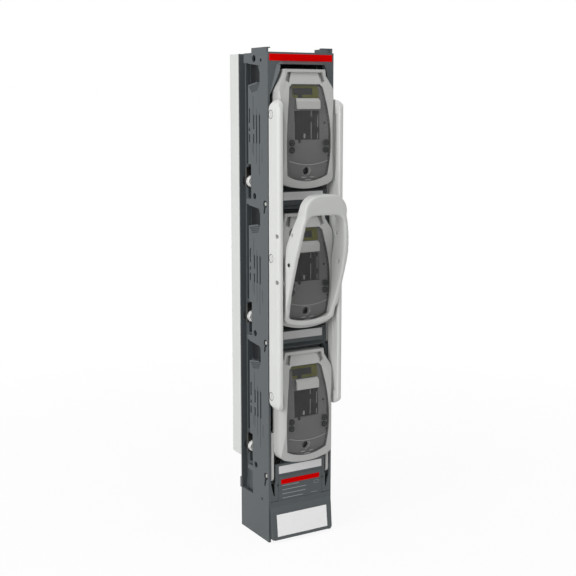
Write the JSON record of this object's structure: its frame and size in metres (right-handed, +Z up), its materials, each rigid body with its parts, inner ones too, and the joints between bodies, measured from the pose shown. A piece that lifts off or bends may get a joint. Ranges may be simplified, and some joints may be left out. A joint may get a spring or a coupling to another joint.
{
  "type": "fuse switch disconnector",
  "caption": "Vertical fuse switch disconnector with stacked smoked fuse lids, side rails and one stirrup handle.",
  "frame": {"origin": "on the rear mounting plane, midway between the four outer busbar bolts", "axes": "+X right seen from the front, +Y out of the back towards the busbars, +Z up"},
  "size_m": [0.1, 0.1833, 0.6625],
  "materials": {
    "housing": "matte",
    "rear_cover": "matte",
    "lid": "satin",
    "rail": "satin",
    "window": "gloss",
    "carrier": "matte",
    "contact": "silver plated",
    "steel": "zinc plated",
    "label_white": "satin",
    "label_grey": "satin",
    "band_red": "satin",
    "plate_yellow": "satin"
  },
  "bodies": {
    "base": {"cable_base": "housing", "rear_cover": "rear_cover", "terminal_cover": "housing", "cover_screws": "steel", "rating_label": "label_white", "head_band": "band_red", "tongue_band": "band_red", "busbar_bolts": "steel", "terminal_bolts": "steel", "jaw_springs": "steel", "upper_jaw_1": "contact", "lower_jaw_1": "contact", "contact_bridge_1": "contact", "cable_bar_1": "contact", "arc_chute_1": "housing", "arc_plates_1": "steel", "label_strip_1": "label_grey", "pole_base_1": "housing", "upper_jaw_2": "contact", "lower_jaw_2": "contact", "contact_bridge_2": "contact", "cable_bar_2": "contact", "arc_chute_2": "housing", "arc_plates_2": "steel", "label_strip_2": "label_grey", "pole_base_2": "housing", "upper_jaw_3": "contact", "lower_jaw_3": "contact", "contact_bridge_3": "contact", "cable_bar_3": "contact", "arc_chute_3": "housing", "arc_plates_3": "steel", "label_strip_3": "label_grey", "pole_base_3": "housing"},
    "lid_1": {"lid_frame_1": "lid", "lid_window_1": "window", "fuse_carrier_1": "carrier", "colour_plate_1": "plate_yellow", "marker_block_1": "label_grey", "rail_pins_1": "rail"},
    "lid_2": {"handle": "lid", "lid_frame_2": "lid", "lid_window_2": "window", "fuse_carrier_2": "carrier", "colour_plate_2": "plate_yellow", "marker_block_2": "label_grey", "rail_pins_2": "rail"},
    "lid_3": {"lid_frame_3": "lid", "lid_window_3": "window", "fuse_carrier_3": "carrier", "colour_plate_3": "plate_yellow", "marker_block_3": "label_grey", "rail_pins_3": "rail"},
    "rail_left": {"rail_left": "rail"},
    "rail_right": {"rail_right": "rail"}
  },
  "joints": [
    {"name": "lid_2_swing", "type": "hinge", "parent": "base", "child": "lid_2", "pos_m": [0, -0.0952, -0.0264], "axis": [1, 0, 0], "range_deg": [0, 60]},
    {"name": "lid_1_swing", "type": "hinge", "parent": "base", "child": "lid_1", "pos_m": [0, -0.0952, 0.1586], "axis": [1, 0, 0], "range_deg": [0, 60]},
    {"name": "lid_3_swing", "type": "hinge", "parent": "base", "child": "lid_3", "pos_m": [0, -0.0952, -0.2114], "axis": [1, 0, 0], "range_deg": [0, 60]},
    {"name": "rail_left_turn", "type": "hinge", "parent": "lid_2", "child": "rail_left", "pos_m": [0, -0.1106, 0.0895], "axis": [1, 0, 0], "range_deg": [-60, 0]},
    {"name": "rail_right_turn", "type": "hinge", "parent": "lid_2", "child": "rail_right", "pos_m": [0, -0.1106, 0.0895], "axis": [1, 0, 0], "range_deg": [-60, 0]}
  ],
  "couplings": [
    {"joint": "lid_1_swing", "follows": "lid_2_swing", "ratio": 1},
    {"joint": "lid_3_swing", "follows": "lid_2_swing", "ratio": 1},
    {"joint": "rail_left_turn", "follows": "lid_2_swing", "ratio": -1},
    {"joint": "rail_right_turn", "follows": "lid_2_swing", "ratio": -1}
  ]
}
